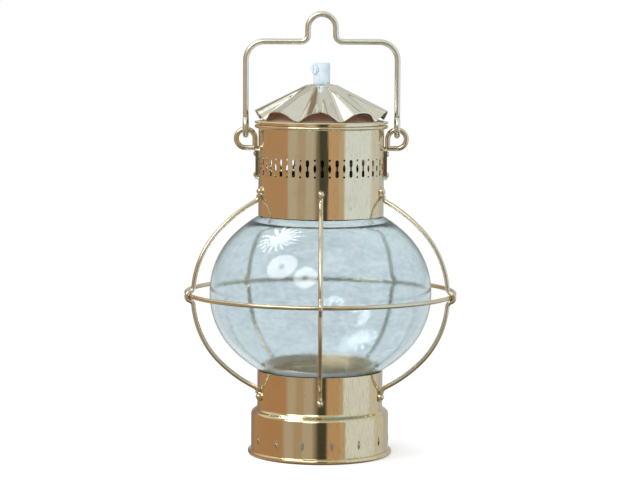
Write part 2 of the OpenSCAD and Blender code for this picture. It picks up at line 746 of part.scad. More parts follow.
// A lug at +X: a ring of rod whose foot is flattened against the chimney
module bail_lug() {
    shank_x = bail_x - lug_ring_r;
    ring_c = [bail_x, lug_ring_z];
    mid = lug_tab_top - lug_tab[2] / 2;
    difference() {
        union() {
            wall_tab(90, mid, chimney_r, lug_tab[1], lug_tab[2] / 2) slot(lug_tab[0], lug_tab[2]);
            rotate([90, 0, 0]) union() {
                rod([shank_x, lug_tab_top - 2.5], [shank_x, lug_ring_z], lug_rod_r);
                rod_arc(ring_c, lug_ring_r, lug_rod_r, -90, 180);
                rod([shank_x, lug_ring_z - lug_ring_r], [bail_x, lug_ring_z - lug_ring_r], lug_rod_r);
            }
        }
        for (z = lug_rivet_z) through_wall(90, z, chimney_r - past, chimney_r + lug_tab[1] + past)
            circle(r = rivet_hole_r);
    }
}

module bail_lug_right() {
    color(brass) bail_lug();
}

module bail_lug_left() {
    color(brass) mirror([1, 0, 0]) bail_lug();
}

// Four rivets of the lugs: the upper two also hold the cross bar
module lug_rivets() {
    seat = chimney_r + lug_tab[1];
    color(brass) for (turn = [-90, 90]) {
        dome_rivet(turn, lug_rivet_z[0], chimney_in, seat, dome_small);
        dome_rivet(turn, lug_rivet_z[1], bar_in, seat, dome_small);
    }
}

// Half of a guard wire above the equator, in the plane of (radius, height over the equator)
module wire_half(wall_r) {
    cap_lean = atan2(wire_cap_z, wire_side_x);
    bend_c = kink_bend_c();
    side_lean = atan2(bend_c[1], bend_c[0] - wire_side_x);
    end_c = wire_end(wall_r);
    end_lean = atan2(end_c[1] + wire_cap_z, end_c[0]);
    wall_x = end_c[0] - wire_bend_r;
    lapped_arc(bend_c, wire_bend_r, wire_r, 180 + side_lean, 180 + kink_lean());
    rod_arc([wire_side_x, 0], wire_side_r, wire_r, side_lean, cap_lean);
    lapped_arc([0, -wire_cap_z], wire_cap_r, wire_r, cap_lean, end_lean);
    rod_arc(end_c, wire_bend_r, wire_r, 180, 180 + end_lean);
    rod([wall_x, end_c[1] - lap], [wall_x, rivet_reach(wall_r) - dome_big[0] - lap], wire_r + lap_rise);
}

// Centre of the last bend, which turns the wire along the wall
function wire_end(wall_r) = let (x = wall_r + wire_r + wire_lift + wire_bend_r)
    [x, sqrt(pow(wire_cap_r + wire_bend_r, 2) - x * x) - wire_cap_z];
// Distance from the equator to the rivet of a wire that ends on a wall
function rivet_reach(wall_r) = tenth(wire_end(wall_r)[1] + wire_tail);

// How far round the hoop a wire's kink runs, from the equator to the reverse bend
function kink_reach() = 2 * wire_r + pin_gap + wire_bend_r;
function kink_lean() = let (d = hoop_r - wire_side_x, k = kink_reach())
    acos((pow(wire_side_r + wire_bend_r, 2) - d * d - k * k) / (2 * d * k));
function kink_bend_c() = [hoop_r + kink_reach() * cos(kink_lean()), kink_reach() * sin(kink_lean())];

// One upright wire of the guard: it goes round the hoop and ends in an eye at each rivet
module guard_wire(i) {
    turn = i * 360 / wire_count;
    color(brass) difference() {
        union() {
            translate([0, 0, globe_z]) at_turn(turn) union() {
                rod_arc([hoop_r, 0], kink_reach() - wire_bend_r, wire_r, -kink_lean(), kink_lean());
                wire_half(chimney_r);
                mirror([0, 1, 0]) wire_half(collar_r);
            }
            for (end = [[1, chimney_r], [-1, collar_r]])
                wall_tab(turn, globe_z + end[0] * rivet_reach(end[1]), end[1], wire_eye[1], wire_eye[0])
                    circle(r = wire_eye[0]);
        }
        for (end = [[1, chimney_r], [-1, collar_r]])
            through_wall(turn, globe_z + end[0] * rivet_reach(end[1]), end[1] - past, end[1] + 2 * wire_eye[1])
                circle(r = rivet_hole_r);
    }
}

module guard_hoop() {
    color(brass) translate([0, 0, globe_z]) rotate_extrude() translate([hoop_r, 0]) circle(r = wire_r);
}

module guard_rivets_top() {
    color(brass) for (i = [0 : wire_count - 1])
        dome_rivet(i * 360 / wire_count, globe_z + rivet_reach(chimney_r), chimney_in,
            chimney_r + wire_eye[1], dome_big);
}

module guard_rivets_bottom() {
    color(brass) for (i = [0 : wire_count - 1])
        dome_rivet(i * 360 / wire_count, globe_z - rivet_reach(collar_r), collar_in,
            collar_r + wire_eye[1], dome_big);
}

// Skirt of the tray, with a notched flange that turns onto the clips
module tray_skirt() {
    notch_w = clip_w + 3;
    color(brass) difference() {
        union() {
            tube(tray_r, tray_r - tray_sheet, tray_foot, dish_top - past);
            tube(tray_flange_r, tray_r - tray_sheet, tray_foot, tray_foot + tray_sheet);
        }
        for (i = [0 : clip_count - 1])
            rotate([0, 0, clip_turn - lock_turn + i * 360 / clip_count])
                translate([-notch_w / 2, -tray_flange_r - past, tray_foot - past])
                    cube([notch_w, tray_flange_r - tray_r + 0.6, tray_sheet + 2 * past]);
    }
}

// Shallow dish soldered into the skirt, with a rolled rim
module tray_dish() {
    wall_out = tray_r - tray_sheet - pin_gap;
    lip_r = 0.8;
    color(brass) difference() {
        rotate_extrude() union() {
            translate([0, dish_floor]) square([wall_out, tray_sheet]);
            translate([wall_out - tray_sheet, dish_floor]) square([tray_sheet, dish_h - lip_r]);
            translate([wall_out - tray_sheet / 2, dish_top - lip_r]) circle(r = lip_r);
        }
        for (s = [-1, 1]) translate([s * strap_rivet_x, 0, dish_floor - past])
            cylinder(h = tray_sheet + 2 * past, r = rivet_hole_r);
    }
}

// Strap under the dish to turn the tray by
module tray_grip() {
    half = strap_bar[0];
    drop = strap_bar[1];
    w = strap_size[0];
    thick = strap_size[1];
    end = half + strap_lug;
    color(brass) difference() {
        translate([0, w / 2, dish_floor]) rotate([90, 0, 0]) linear_extrude(w) polygon([
            [-end, 0], [-end, -thick], [-half - thick, -thick], [-half, -drop], [half, -drop],
            [half + thick, -thick], [end, -thick], [end, 0], [half, 0], [half - past, -drop + thick],
            [past - half, -drop + thick], [-half, 0]
        ]);
        for (s = [-1, 1]) translate([s * strap_rivet_x, 0, dish_floor - thick - past])
            cylinder(h = thick + 2 * past, r = rivet_hole_r);
    }
}

module tray_grip_rivets() {
    head = [dome_small[0], 0.8];
    under = dish_floor - strap_size[1];
    over = dish_floor + tray_sheet;
    color(brass) for (s = [-1, 1]) translate([s * strap_rivet_x, 0, 0]) union() {
        translate([0, 0, under]) cylinder(h = over - under, r = rivet_r);
        translate([0, 0, over]) cylinder(h = head[1], r = head[0]);
        translate([0, 0, under - head[1]]) cylinder(h = head[1], r = head[0]);
    }
}

base_shell();
tray_clips();
lower_glass_ring();
lower_gasket();
globe();
upper_gasket();
upper_glass_ring();
chimney();
cover_ring();
heat_baffle();
crown();
cross_bar();
threaded_tube();
lock_nuts();
grip_washer();
cord_grip();
cord_grip_screw();
lampholder_cap();
lampholder_shell();
porcelain_insert();
lamp_screw_shell();
lamp_contacts();
terminal_screws();
bail();
bail_lug_left();
bail_lug_right();
lug_rivets();
guard_wire(0);  // guard_wire_1
guard_wire(1);  // guard_wire_2
guard_wire(2);  // guard_wire_3
guard_wire(3);  // guard_wire_4
guard_wire(4);  // guard_wire_5
guard_hoop();
guard_rivets_top();
guard_rivets_bottom();
tray_skirt();
tray_dish();
tray_grip();
tray_grip_rivets();
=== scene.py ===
# %% [markdown]
# # A brass hanging lantern with a wire-guarded glass globe
#
# The lantern's construction comes in from its CAD model as a fixed frame, in metres, standing on
# z = 0 with its front towards -Y. This lesson dresses it: it rebuilds the pieces whose surface
# needs more than the CAD mesh gives, and gives every piece a finish made of nodes. A piece could be
# painted with images, but nodes follow the metal at any distance, and need no file.

# %% The frame
import json
import math

import bmesh
import bpy
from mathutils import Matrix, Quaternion, Vector, noise


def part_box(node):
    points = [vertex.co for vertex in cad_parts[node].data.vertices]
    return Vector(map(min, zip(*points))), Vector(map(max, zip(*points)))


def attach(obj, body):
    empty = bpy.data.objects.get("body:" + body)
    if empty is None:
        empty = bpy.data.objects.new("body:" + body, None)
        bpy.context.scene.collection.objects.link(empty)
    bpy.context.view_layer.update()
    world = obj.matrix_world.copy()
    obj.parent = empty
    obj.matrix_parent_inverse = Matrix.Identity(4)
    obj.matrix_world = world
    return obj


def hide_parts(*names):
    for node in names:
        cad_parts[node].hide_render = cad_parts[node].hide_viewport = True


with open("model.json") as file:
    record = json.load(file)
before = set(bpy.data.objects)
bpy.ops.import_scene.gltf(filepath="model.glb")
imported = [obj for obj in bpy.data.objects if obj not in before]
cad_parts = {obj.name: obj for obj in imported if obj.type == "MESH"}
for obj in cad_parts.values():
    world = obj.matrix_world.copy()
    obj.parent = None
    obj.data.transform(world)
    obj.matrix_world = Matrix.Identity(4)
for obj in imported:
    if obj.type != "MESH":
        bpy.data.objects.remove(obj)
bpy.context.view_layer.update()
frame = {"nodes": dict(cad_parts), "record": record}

NODES = frame["nodes"]
print("CAD nodes:", len(NODES))

# %% [markdown]
# ## Shader maths as plain expressions
#
# A finish is worked out from a few masks: where the metal is brushed, where it is stained. Wiring
# such sums by hand in the node editor is slow to read. This small class wraps one socket, so that
# `1 - mask * 0.3` adds the Math nodes by itself. Colours go through Mix, because a Math node would
# turn them grey.

# %% Sockets that can be added and multiplied


class Signal:
    """A value that leaves a node: Python's operators on it add Math or Vector Math nodes."""

    def __init__(self, recipe, socket):
        self.recipe = recipe
        self.socket = socket

    def join(self, operation, *values):
        kind = "ShaderNodeVectorMath" if self.socket.type == "VECTOR" else "ShaderNodeMath"
        return self.recipe.node(kind, {"operation": operation}, dict(enumerate(values)))

    def __add__(self, other):
        return self.join("ADD", self, other)

    def __radd__(self, other):
        return self.join("ADD", other, self)

    def __sub__(self, other):
        return self.join("SUBTRACT", self, other)

    def __rsub__(self, other):
        return self.join("SUBTRACT", other, self)

    def __mul__(self, other):
        return self.join("MULTIPLY", self, other)

    def __rmul__(self, other):
        return self.join("MULTIPLY", other, self)

    def __truediv__(self, other):
        return self.join("DIVIDE", self, other)

    def __rtruediv__(self, other):
        return self.join("DIVIDE", other, self)

    def over(self, limit):
        """1 where the value is above the limit, and 0 elsewhere."""
        return self.join("GREATER_THAN", self, limit)

    def along(self, direction):
        """How much of a vector points in a direction."""
        sockets = {0: self, 1: direction}
        settings = {"operation": "DOT_PRODUCT"}
        return self.recipe.node("ShaderNodeVectorMath", settings, sockets, output=1)


# %% [markdown]
# ## One way to add any node
#
# Every other node comes from `Recipe.node`: its type, its settings, and the values or links of its
# sockets. The settings go first, because some of them change which sockets there are. A recipe can
# belong to a material or to the world, which are both node trees.

# %% A recipe and its nodes


class Recipe:
    """The node tree of a material or of the world."""

    def __init__(self, owner):
        self.owner = owner
        owner.use_nodes = True
        self.tree = owner.node_tree
        self.tree.nodes.clear()

    def node(self, kind, settings=None, sockets=None, output=0):
        """Adds a node of a type, first with its settings and then with its sockets."""
        made = self.tree.nodes.new(kind)
        for key, value in (settings or {}).items():
            if key == "stops":
                self.set_stops(made.color_ramp, value)
            else:
                setattr(made, key, value)
        for key, value in (sockets or {}).items():
            if isinstance(value, Signal):
                self.tree.links.new(value.socket, made.inputs[key])
            else:
                made.inputs[key].default_value = value
        return Signal(self, made.outputs[output]) if made.outputs else made

    @staticmethod
    def set_stops(ramp, stops):
        """The places and colours of a colour ramp."""
        while len(ramp.elements) < len(stops):
            ramp.elements.new(1)
        for element, (place, colour) in zip(ramp.elements, stops):
            element.position = place
            element.color = (*colour, 1)

    def close(self, shader):
        """The output node, which ends a recipe."""
        kind = "World" if isinstance(self.owner, bpy.types.World) else "Material"
        self.node(f"ShaderNodeOutput{kind}", None, {"Surface": shader})
        return self.owner


# %% [markdown]
# ## Masks and mixes
#
# Real wear is never even, so a finish starts from noise: a ramp cuts it into a mask, and the mask
# mixes two colours or two shaders. Each of these steps could be spelled out in every material. As
# short methods they read like a sentence, and the materials and the world share them.

# %% Steps that every recipe uses


class Palette(Recipe):
    """A recipe with the steps that make masks and mix by them."""

    def noise(self, vector, scale, detail=3.0, roughness=0.5):
        """A cloudy value about 0.5: scale is how many clouds there are in a metre."""
        return self.node(
            "ShaderNodeTexNoise",
            {"normalize": True},
            {"Vector": vector, "Scale": scale, "Detail": detail, "Roughness": roughness},
        )

    def ramp(self, value, low, high):
        """0 below low, 1 above high, and smooth between."""
        return self.node(
            "ShaderNodeMapRange",
            {"interpolation_type": "SMOOTHSTEP"},
            {"Value": value, "From Min": low, "From Max": high},
        )

    def length(self, vector):
        """How long a vector is."""
        return self.node("ShaderNodeVectorMath", {"operation": "LENGTH"}, {0: vector}, output=1)

    def angle(self, across, ahead):
        """The angle, from -pi to pi, of a step across and a step ahead."""
        return self.node("ShaderNodeMath", {"operation": "ARCTAN2"}, {0: across, 1: ahead})

    def mix(self, share, first, second):
        """One colour blended into another."""
        first = (*first, 1) if isinstance(first, tuple) else first
        second = (*second, 1) if isinstance(second, tuple) else second
        settings = {"data_type": "RGBA"}
        return self.node("ShaderNodeMix", settings, {0: share, 6: first, 7: second}, output=2)

    def blend(self, share, first, second):
        """One shader blended into another."""
        return self.node("ShaderNodeMixShader", None, {0: share, 1: first, 2: second})

    def path(self, kind):
        """What kind of ray is looking."""
        return self.node("ShaderNodeLightPath", output=kind)


# %% [markdown]
# ## The recipe of a material
#
# A material also needs a place on the lantern and a Principled shader. UV maps could give the
# place, but the pieces would have to be unwrapped. The Object coordinates are simply metres from
# the middle of the foot, so a brush line has its real width on every piece.

# %% A finish


class Finish(Palette):
    """A new material's recipe."""

    def __init__(self, name):
        super().__init__(bpy.data.materials.new(name))

    def place(self):
        """Where a point is on the lantern, in metres."""
        return self.node("ShaderNodeTexCoord", output="Object")

    def stretched(self, x, y, z):
        """The place with each direction scaled."""
        return self.place() * (x, y, z)

    def from_axis(self):
        """How far a point is from the lantern's axis."""
        return self.length(self.stretched(1, 1, 0))

    def bump(self, height, strength, distance):
        """Small dents: distance is their depth in metres, at a strength of 1."""
        sockets = {"Height": height, "Strength": strength, "Distance": distance}
        return self.node("ShaderNodeBump", None, sockets)

    def surface(self, **values):
        """The Principled shader, with its sockets' names written with _ for a space."""
        sockets = {key.replace("_", " "): value for key, value in values.items()}
        for key, value in sockets.items():
            if key.endswith("Color") and isinstance(value, tuple):
                sockets[key] = (*value, 1)
        return self.node("ShaderNodeBsdfPrincipled", None, sockets)


# %% [markdown]
# ## Lines that follow a wall
#
# The brush lines on the real sheet run straight up the walls, and outwards on the shoulder of the
# foot, because it was polished along its profile. A noise that is only stretched along Z would
# smear into rings on the shoulder. Dividing the place by its distance from the axis keeps the lines
# upright on the walls and radial on the shoulder.

# %% Coordinates along a wall
WALL_RADIUS = 0.05
AXIS_GUARD = 0.002


def along_the_wall(finish, stretch):
    """Coordinates that change fast round the axis, and slowly along a wall."""
    scale = WALL_RADIUS / (finish.from_axis() + AXIS_GUARD)
    sockets = {0: finish.stretched(1, 1, 0), 3: scale}
    around = finish.node("ShaderNodeVectorMath", {"operation": "SCALE"}, sockets)
    return around + finish.place() * (0, 0, stretch)


# %% [markdown]
# ## Brass sheet
#
# The foot, collar, chimney and rim are spun or rolled from sheet brass and polished like a mirror,
# then left with fine lines and specks, most of them on the right side. The lines could be a bump
# alone, but on the real metal they are faint brown, so the same noise also darkens the colour. The
# roughness is lowest between the lines, which keeps the mirror sharp.

# %% Brass sheet
FOOT_BRASS = (0.83, 0.69, 0.455)
CHIMNEY_BRASS = (0.865, 0.765, 0.56)
CROWN_BRASS = (0.90, 0.88, 0.82)
BRASS_LINES = (0.66, 0.51, 0.31)
BRASS_STAINED = (0.52, 0.36, 0.20)
LINE_SCALE = 1300.0
BAND_SCALE = 160.0
SPECK_SCALE = 700.0
STAIN_SCALE = 60.0
STREAK_LEVELS = (0.46, 0.70)
SPECK_LEVELS = (0.64, 0.72)
SPECK_STRETCH = (1, 1, 0.30)
STAIN_LEVELS = (0.55, 0.85)
STAIN_SHARE = 0.2
WORN_FROM = (0.005, 0.020)
LEAST_WORN = 0.3
METAL_GRAIN = 0.0002


def worn_side(finish):
    """1 on the right side of the lantern, and LEAST_WORN on the left."""
    right = finish.ramp(finish.place().along((1, 0, 0)), *WORN_FROM)
    return right * (1 - LEAST_WORN) + LEAST_WORN


def brass_sheet(name, base, polish=0.05, lined=0.35, specked=0.45):
    """Polished sheet: lined and specked say how strongly the lines and specks show."""
    finish = Finish(name)
    worn = worn_side(finish)
    lines = finish.noise(along_the_wall(finish, 0.12), LINE_SCALE, 3.0, 0.6)
    bands = finish.noise(along_the_wall(finish, 0.03), BAND_SCALE, 2.0)
    stains = finish.ramp(finish.noise(finish.place(), STAIN_SCALE, 4.0), *STAIN_LEVELS)
    specks = finish.noise(finish.stretched(*SPECK_STRETCH), SPECK_SCALE, 2.0)
    specks = finish.ramp(specks, *SPECK_LEVELS)
    streaks = finish.ramp(lines, *STREAK_LEVELS) * worn * lined
    colour = finish.mix(streaks, base, BRASS_LINES)
    dark = specks * worn * specked + stains * STAIN_SHARE
    colour = finish.mix(dark, colour, BRASS_STAINED)
    roughness = polish + lines * 0.03 + specks * 0.15
    normal = finish.bump(lines + bands, 0.05, METAL_GRAIN)
    return finish.close(
        finish.surface(Base_Color=colour, Metallic=1.0, Roughness=roughness, Normal=normal)
    )


FOOT_SHEET = brass_sheet("foot_sheet", FOOT_BRASS, lined=0.75, specked=0.6)
CHIMNEY_SHEET = brass_sheet("chimney_sheet", CHIMNEY_BRASS)
CROWN_SHEET = brass_sheet("crown_sheet", CROWN_BRASS, polish=0.06, lined=0.2)
print("made", [m.name for m in (FOOT_SHEET, CHIMNEY_SHEET, CROWN_SHEET)])

# %% [markdown]
# ## Brass wire and the other metals
#
# The guard, bail and lugs are drawn rod, with scratches in every direction instead of upright
# lines. The bail is paler and duller than the guard. The tray's dish is darker than the other brass
# and clouded with tarnish. Its darker colour is partly painted shade, for the shade inside the
# globe.
# Its skirt, which the neck of the glass makes large, is painted almost white and is not metal: a
# painted highlight, for the pale band that the glass shows above the collar. The copper baffle is
# dull, and its rim is as pale as the ring that it lies on. Each could be a material of its own, but
# they differ only in colour, polish and wear, so one recipe makes them all.

# %% Wire and plain metals
CLOUD_SCALE = 90.0
CLOUD_LEVELS = (0.42, 0.75)
SCRATCH_SCALE = 1400.0
SCRATCH_STRETCH = (1, 1, 0.25)
BAFFLE_RIM = 0.042
RIM_FADE = 0.001


def plain_metal(name, base, stained, polish, wear=0.3, metallic=1.0, brass_from=None):
    """Clouded metal: brass_from is the radius past which it has the chimney's colour."""
    finish = Finish(name)
    clouds = finish.noise(finish.place(), CLOUD_SCALE, 5.0, 0.6)
    scratches = finish.noise(finish.stretched(*SCRATCH_STRETCH), SCRATCH_SCALE, 2.0)
    colour = finish.mix(finish.ramp(clouds, *CLOUD_LEVELS) * wear, base, stained)
    if brass_from:
        outer = finish.ramp(finish.from_axis(), brass_from - RIM_FADE, brass_from)
        colour = finish.mix(outer, colour, CHIMNEY_BRASS)
    roughness = polish + clouds * 0.05 + scratches * 0.015
    normal = finish.bump(scratches, 0.004, METAL_GRAIN)
    return finish.close(
        finish.surface(Base_Color=colour, Metallic=metallic, Roughness=roughness, Normal=normal)
    )


WIRE = plain_metal("brass_wire", (0.80, 0.72, 0.56), (0.58, 0.46, 0.30), polish=0.15)
BAIL_ROD = plain_metal("bail_rod", (0.90, 0.90, 0.80), (0.74, 0.70, 0.56), polish=0.26)
# The dish's darker base colour is partly painted shade, for the shade inside the globe; its clouds
# are tarnish.
DISH_TARNISH_AND_SHADE = plain_metal("dish_tarnish_and_shade", (0.72, 0.61, 0.45), (0.46, 0.37, 0.25), polish=0.40, wear=0.6)
# The skirt's almost white, non-metal colour is a painted highlight, for the pale band at the
# glass's lower neck.
SKIRT_PAINTED_HIGHLIGHT = plain_metal(
    "skirt_painted_highlight", (0.92, 0.92, 0.88), (0.84, 0.83, 0.77), polish=0.55, wear=0.4, metallic=0.0
)
INNER = plain_metal("plain_brass", (0.80, 0.71, 0.54), (0.50, 0.41, 0.26), polish=0.22, wear=0.5)
COPPER = plain_metal(
    "copper", (0.88, 0.56, 0.40), (0.66, 0.36, 0.25),
    polish=0.34, wear=0.5, metallic=0.35, brass_from=BAFFLE_RIM,
)
STEEL = plain_metal(
    "zinc_plated_steel", (0.66, 0.66, 0.68), (0.45, 0.44, 0.42), polish=0.30, wear=0.4
)
print("made", [m.name for m in (WIRE, BAIL_ROD, DISH_TARNISH_AND_SHADE, SKIRT_PAINTED_HIGHLIGHT, INNER, COPPER, STEEL)])

# %% [markdown]
# ## Glass
#
# The globe is blown clear glass, faintly blue-green, and its surface is wrinkled. It could be a
# thin see-through skin, but then nothing behind it would bend. Light goes in and out through a real
# wall here, and a mottled colour stands for the wrinkles that are too fine for the mesh: a painted
# reflection and refraction, the lighter and darker flecks that such wrinkles make by bending and
# mirroring the room. A shadow ray can't bend, and would leave a black shadow, so for shadow rays
# alone the glass is see-through.

# %% Rippled glass
GLASS_CLEAR = (0.80, 0.865, 0.895)
GLASS_PAINTED_SHIMMER = (0.675, 0.755, 0.785)
GLASS_SHADOW = (0.86, 0.9, 0.92, 1)
GLASS_IOR = 1.47
SWIRL_SCALE = 60.0
MOTTLE_SCALE = 210.0
WRINKLE_SCALE = 420.0
SHIMMER_LEVELS = (0.38, 0.62)
GLASS_GRAIN = 0.0003
RIPPLE_STRENGTH = 0.22


def rippled_glass(name, ripple):
    """Clear glass: broad swirls and fine wrinkles bend what it shows."""
    finish = Finish(name)
    swirl = finish.noise(finish.stretched(1, 1, 1.8), SWIRL_SCALE, 6.0, 0.65)
    wrinkles = finish.noise(finish.stretched(1, 1, 2.2), WRINKLE_SCALE, 3.0, 0.6)
    mottle = finish.noise(finish.stretched(1, 1, 1.7), MOTTLE_SCALE, 4.0, 0.6)
    # The mottled tint is painted light: the flecks that wrinkles too fine for the mesh make by
    # bending and mirroring the room.
    cloudy = finish.ramp(swirl * 0.5 + mottle * 0.5, *SHIMMER_LEVELS)
    colour = finish.mix(cloudy, GLASS_CLEAR, GLASS_PAINTED_SHIMMER)
    normal = finish.bump(swirl * 0.35 + wrinkles * 0.3, ripple, GLASS_GRAIN)
    glass = finish.surface(
        Base_Color=colour, Roughness=0.0, IOR=GLASS_IOR, Transmission_Weight=1.0, Normal=normal
    )
    clear = finish.node("ShaderNodeBsdfTransparent", None, {"Color": GLASS_SHADOW})
    return finish.close(finish.blend(finish.path("Is Shadow Ray"), glass, clear))


GLASS = rippled_glass("rippled_glass", RIPPLE_STRENGTH)
print("made", GLASS.name)

# %% [markdown]
# ## Nylon, bakelite, rubber and porcelain
#
# The cord grip is white nylon, which lets a little light into itself. The lampholder is black
# bakelite with a dull shine, its block is glazed ceramic, and the gaskets are rubber. A plain
# colour with one roughness could do for pieces this small, but a moulded surface is never quite
# smooth, so each has a fine grain and a slightly cloudy colour.

# %% Moulded and fired finishes
MOULD_CLOUD_SCALE = 160.0
MOULD_CLOUD_LEVELS = (0.35, 0.7)
MOULD_GRAIN = 0.0003


def moulded(name, base, shade, roughness, grain, bump, **more):
    """A moulded or fired surface: grain is the scale of its roughness, bump its strength."""
    finish = Finish(name)
    cloud = finish.noise(finish.place(), MOULD_CLOUD_SCALE, 4.0)
    fine = finish.noise(finish.place(), grain, 3.0)
    colour = finish.mix(finish.ramp(cloud, *MOULD_CLOUD_LEVELS), base, shade)
    normal = finish.bump(fine, bump, MOULD_GRAIN)
    return finish.close(
        finish.surface(Base_Color=colour, Roughness=roughness + fine * 0.15, Normal=normal, **more)
    )


NYLON = moulded(
    "white_nylon", (0.66, 0.76, 0.82), (0.57, 0.68, 0.75), 0.32, 1500.0, 0.08,
    Subsurface_Weight=0.25, Subsurface_Radius=(0.002, 0.002, 0.0022),
)
BAKELITE = moulded("black_bakelite", (0.018, 0.017, 0.016), (0.03, 0.027, 0.024), 0.22, 900.0, 0.1)
RUBBER = moulded("gasket_rubber", (0.05, 0.046, 0.042), (0.08, 0.075, 0.07), 0.7, 2200.0, 0.4)
PORCELAIN = moulded("porcelain", (0.86, 0.85, 0.80), (0.80, 0.79, 0.74), 0.12, 700.0, 0.05)
print("made", [m.name for m in (NYLON, BAKELITE, RUBBER, PORCELAIN)])

# %% [markdown]
# ## Finishes on the CAD pieces
#
# Most pieces keep their CAD shape, down to the rivets, and only need a finish. A CAD piece comes in
# with flat faces, split along every edge. Its vertices could be merged by hand, but they stay as
# they are: a Weld modifier joins the faces on the fly, and Edge Split cuts them again only where
# the corner is sharper than 30 degrees, so round walls look round and stamped edges stay crisp.

# %% Smooth shading and a finish for each slot
SLOT_FINISHES = {
    "polished_brass": FOOT_SHEET,
    "wire_brass": WIRE,
    "inner_brass": INNER,
    "copper": COPPER,
    "steel": STEEL,
    "globe_glass": GLASS,
    "gasket_rubber": RUBBER,
    "white_nylon": NYLON,
    "black_bakelite": BAKELITE,
    "porcelain": PORCELAIN,
}
NODE_FINISHES = {
    "chimney": CHIMNEY_SHEET,
    "cover_ring": CHIMNEY_SHEET,
    "bail": BAIL_ROD,
    "tray_dish": DISH_TARNISH_AND_SHADE,
    "tray_skirt": SKIRT_PAINTED_HIGHLIGHT,
}
SHARP_CORNER = math.radians(30)
WELD_REACH = 1e-6


def shade_smooth(piece):
    """Smooth shading that keeps the sharp corners."""
    for face in piece.data.polygons:
        face.use_smooth = True
    split = piece.modifiers.new("sharp_corners", "EDGE_SPLIT")
    split.split_angle = SHARP_CORNER


for part in frame["record"]["subparts"]:
    node = NODES[part["node"]]
    weld = node.modifiers.new("joined_faces", "WELD")
    weld.merge_threshold = WELD_REACH
    shade_smooth(node)
    node.data.materials.clear()
    slot_finish = SLOT_FINISHES[part["material_slot"]]
    node.data.materials.append(NODE_FINISHES.get(part["node"], slot_finish))

# %% [markdown]
# ## A new piece on the lantern
#
# The globe and the crown are rebuilt with more faces than the CAD mesh has. A new piece could be
# parented by hand, but it has to move with its body in every pose, so one helper makes the object
# and lets it ride on its body.

# %% From mesh to piece


def new_piece(name, mesh, material, body="lantern"):
    """An object for a bmesh, riding on its body."""
    data = bpy.data.meshes.new(name)
    bmesh.ops.recalc_face_normals(mesh, faces=mesh.faces)
    mesh.to_mesh(data)
    mesh.free()
    piece = bpy.data.objects.new(name, data)
    bpy.context.scene.collection.objects.link(piece)
    data.materials.append(material)
    shade_smooth(piece)
    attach(piece, body)
    return piece


# %% [markdown]
# ## A turned piece from its outline
#
# The globe is round about the lantern's axis, so it is an outline turned in steps. A Screw modifier
# would do it too. Doing it in code lets each point be moved by a noise as it is made, which is how
# the blown wall gets its waves.

# %% Lathe


def on_circle(radius, turn, height):
    """A point at a radius and a height, turned about the axis from the front towards +X."""
    return Vector((radius * math.sin(turn), -radius * math.cos(turn), height))


def turned(outline, steps, wave):
    """A closed outline of (radius, height) turned about the Z axis, each point moved by wave."""
    mesh = bmesh.new()
    rings = []
    for i in range(steps):
        ring = []
        for radius, height in outline:
            point = on_circle(radius, 2 * math.pi * i / steps, height)
            ring.append(mesh.verts.new(point + wave(point)))
        rings.append(ring)
    for i, ring in enumerate(rings):
        after = rings[(i + 1) % steps]
        for j in range(len(outline)):
            k = (j + 1) % len(outline)
            mesh.faces.new((ring[j], after[j], after[k], ring[k]))
    return mesh


def arc(centre, radius, start, end, steps):
    """Points of (radius, height) along an arc, from one angle to another, in degrees."""
    points = []
    for i in range(steps + 1):
        turn = math.radians(start + (end - start) * i / steps)
        points.append((centre[0] + radius * math.cos(turn), centre[1] + radius * math.sin(turn)))
    return points


# %% [markdown]
# ## The globe's outline
#
# A blown onion globe is a flattened oval between two short necks. It could be a scaled sphere, but
# its shoulders would be too full. Its side is an arc about a point off the axis, and its shoulders
# are larger arcs that meet it smoothly. The inner wall is the same outline, a wall's thickness
# inside, and a little more at the upper shoulder, where blown glass gathers.

# %% Globe outline
globe_low, globe_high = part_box("globe")
GLOBE_MIDDLE = (globe_low.z + globe_high.z) / 2
GLOBE_SIDE_RADIUS = 0.060
GLOBE_SIDE_CENTRE = (globe_high.x - GLOBE_SIDE_RADIUS, 0)
GLOBE_CAP_CENTRE = (0, -0.0222)
GLOBE_CAP_RADIUS = GLOBE_SIDE_RADIUS + math.dist(GLOBE_SIDE_CENTRE, GLOBE_CAP_CENTRE)
GLASS_WALL = 0.0025
NECK_RADIUS = 0.0435
NECK_STEP = 0.0004
SHOULDER_THICKENING = 0.0006
SHOULDER_START = 0.048
SHOULDER_FULL = 0.0535
SIDE_STEPS = 24
CAP_STEPS = 30


def globe_half(depth, thickening=0.0):
    """An outline of (radius, height) from the globe's middle to the end of a neck."""
    neck = NECK_RADIUS - depth
    meet = math.degrees(math.atan2(-GLOBE_CAP_CENTRE[1], GLOBE_SIDE_CENTRE[0]))
    lean = math.degrees(math.acos(NECK_RADIUS / GLOBE_CAP_RADIUS))
    dome = arc(GLOBE_SIDE_CENTRE, GLOBE_SIDE_RADIUS, 0, meet, SIDE_STEPS)
    dome += arc(GLOBE_CAP_CENTRE, GLOBE_CAP_RADIUS, meet, lean, CAP_STEPS)[1:]
    centres = [GLOBE_SIDE_CENTRE] * (SIDE_STEPS + 1) + [GLOBE_CAP_CENTRE] * CAP_STEPS
    half = []
    for (radius, height), centre in zip(dome, centres):
        outward = Vector((radius - centre[0], height - centre[1])).normalized()
        share = (height - SHOULDER_START) / (SHOULDER_FULL - SHOULDER_START)
        share = min(1.0, max(0.0, share))
        inset = depth + thickening * share * share
        radius, height = radius - outward.x * inset, height - outward.y * inset
        if radius > neck:
            half.append((radius, height))
    half.append((neck, half[-1][1] + NECK_STEP))
    half.append((neck, globe_high.z - GLOBE_MIDDLE))
    return half


